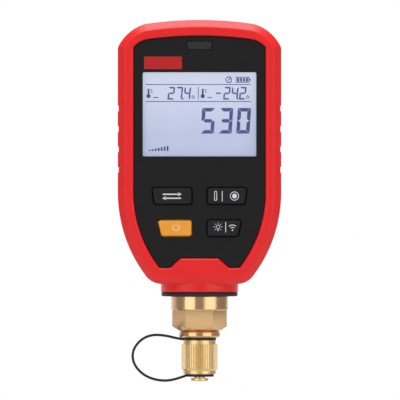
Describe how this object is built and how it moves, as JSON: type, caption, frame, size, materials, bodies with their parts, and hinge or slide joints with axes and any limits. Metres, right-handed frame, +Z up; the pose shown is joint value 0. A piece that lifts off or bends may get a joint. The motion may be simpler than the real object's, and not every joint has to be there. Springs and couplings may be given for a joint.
{
  "type": "wireless vacuum gauge",
  "caption": "Hand-held digital vacuum gauge in a red case, with a display, keys and a capped brass flare fitting that screws onto a service port.",
  "frame": {"origin": "centre of the tip of the flare nose, where the port seals", "axes": "+Z up along the fitting into the case, the front faces -Y, +X is to the right seen from the front"},
  "size_m": [0.066, 0.0353, 0.1463],
  "materials": {
    "red_case": "satin moulded, soft touch",
    "black_panel": "fine matt texture",
    "clear_window": "clear and flat",
    "display_glass": "pale lavender, lit from behind",
    "light_guide": "milky",
    "contact_strip": "layered elastomer",
    "white_frame": "moulded",
    "smoked_window": "smoked, satin",
    "lamp_body": "clear resin",
    "mat_silicone": "moulded silicone",
    "circuit_board": "green solder mask",
    "screw_steel": "plated",
    "black_part": "moulded",
    "module_shield": "tinned",
    "sensor_can": "drawn can",
    "cell_can": "printed sleeve, plain",
    "contact_metal": "nickel plated",
    "door_plastic": "fine matt texture",
    "seal_rubber": "satin",
    "fitting_brass": "turned, satin",
    "washer_steel": "plated",
    "cap_brass": "turned and knurled",
    "tether_rubber": "satin moulded",
    "dark_key": "matt, slightly crowned",
    "amber_key": "matt, slightly crowned"
  },
  "bodies": {
    "gauge": {"front_housing": "red_case", "rear_housing": "red_case", "front_panel": "black_panel", "display_window": "clear_window", "lcd_panel": "display_glass", "display_backlight": "light_guide", "display_connectors": "contact_strip", "display_holder": "white_frame", "status_window": "smoked_window", "status_lamp": "lamp_body", "key_mat": "mat_silicone", "main_board": "circuit_board", "board_screws": "screw_steel", "buzzer": "black_part", "radio_module": "module_shield", "main_chip": "black_part", "sensor_header": "black_part", "sensor_board": "circuit_board", "vacuum_sensor": "sensor_can", "battery_left": "cell_can", "battery_middle": "cell_can", "battery_right": "cell_can", "battery_contacts_upper": "contact_metal", "battery_contacts_lower": "contact_metal", "battery_door": "door_plastic", "battery_door_screw": "screw_steel", "housing_screws": "screw_steel", "neck_seal": "seal_rubber", "fitting_body": "fitting_brass", "fitting_o_ring": "seal_rubber", "fitting_washer": "washer_steel", "fitting_nut": "fitting_brass"},
    "unit_key_body": {"unit_key": "dark_key"},
    "record_key_body": {"record_key": "dark_key"},
    "power_key_body": {"power_key": "amber_key"},
    "lamp_key_body": {"lamp_key": "dark_key"},
    "tether": {"cap_tether": "tether_rubber"},
    "cap_body": {"cap": "cap_brass", "cap_gasket": "seal_rubber"}
  },
  "joints": [
    {"name": "unit_key_press", "type": "slide", "parent": "gauge", "child": "unit_key_body", "axis": [0, 1, 0], "range_m": [0, 0.0008], "stiffness_N_per_m": 1200, "deforming": ["key_mat"]},
    {"name": "record_key_press", "type": "slide", "parent": "gauge", "child": "record_key_body", "axis": [0, 1, 0], "range_m": [0, 0.0008], "stiffness_N_per_m": 1200, "deforming": ["key_mat"]},
    {"name": "power_key_press", "type": "slide", "parent": "gauge", "child": "power_key_body", "axis": [0, 1, 0], "range_m": [0, 0.0008], "stiffness_N_per_m": 1200, "deforming": ["key_mat"]},
    {"name": "lamp_key_press", "type": "slide", "parent": "gauge", "child": "lamp_key_body", "axis": [0, 1, 0], "range_m": [0, 0.0008], "stiffness_N_per_m": 1200, "deforming": ["key_mat"]},
    {"name": "cap_travel", "type": "slide", "parent": "gauge", "child": "tether", "axis": [0, 0, -1], "range_m": [0, 0.00762], "deforming": ["cap_tether"]},
    {"name": "cap_turn", "type": "hinge", "parent": "tether", "child": "cap_body", "pos_m": [0, 0, 0], "axis": [0, 0, -1], "range_deg": [0, 2160]}
  ],
  "couplings": [
    {"joint": "cap_turn", "follows": "cap_travel", "rad_per_m": 4947.4}
  ]
}
